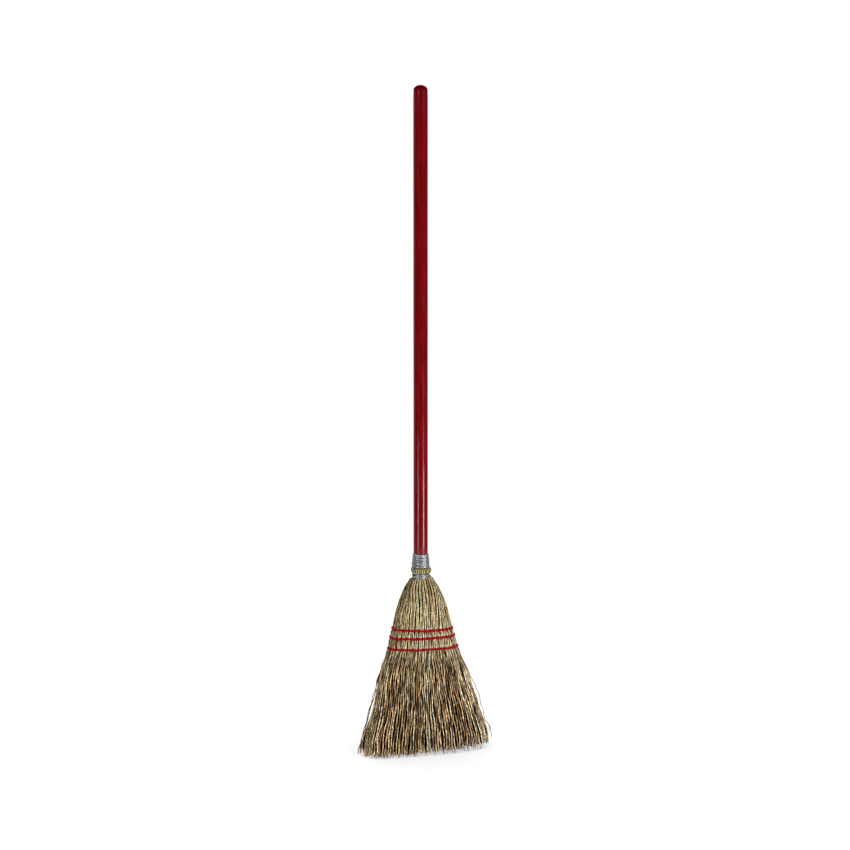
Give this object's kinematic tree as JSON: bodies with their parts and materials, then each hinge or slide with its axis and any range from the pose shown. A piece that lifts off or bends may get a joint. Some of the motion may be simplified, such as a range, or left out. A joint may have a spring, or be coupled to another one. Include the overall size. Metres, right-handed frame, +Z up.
{
  "type": "corn broom",
  "caption": "Upright corn broom: round lacquered wooden handle, broomcorn head bound to it with wire, flared towards the tips and sewn flat with rows of twine.",
  "frame": {"origin": "centre of the sweeping end, at the floor that the strands' tips stand on; the handle's axis is 8.5 mm towards -X of it, because the head leans away from the handle as in the picture", "axes": "+Z up along the handle; X along the sweep's width; -Y towards the face over which the binding wire crosses"},
  "size_m": [0.1943, 0.0645, 0.99],
  "materials": {
    "lacquered_wood": "gloss",
    "broomcorn": "matte",
    "wire": "satin",
    "twine": "matte"
  },
  "bodies": {
    "root": {"handle": "lacquered_wood", "core_bunch": "broomcorn", "core_winding": "wire", "left_shoulder_bunch": "broomcorn", "right_shoulder_bunch": "broomcorn", "front_cover_bunch": "broomcorn", "back_cover_bunch": "broomcorn", "binding_wire": "wire", "wire_end_tack": "wire", "stitch_row_top": "twine", "stitch_row_middle": "twine", "stitch_row_low": "twine", "link_twine": "twine"}
  },
  "joints": []
}
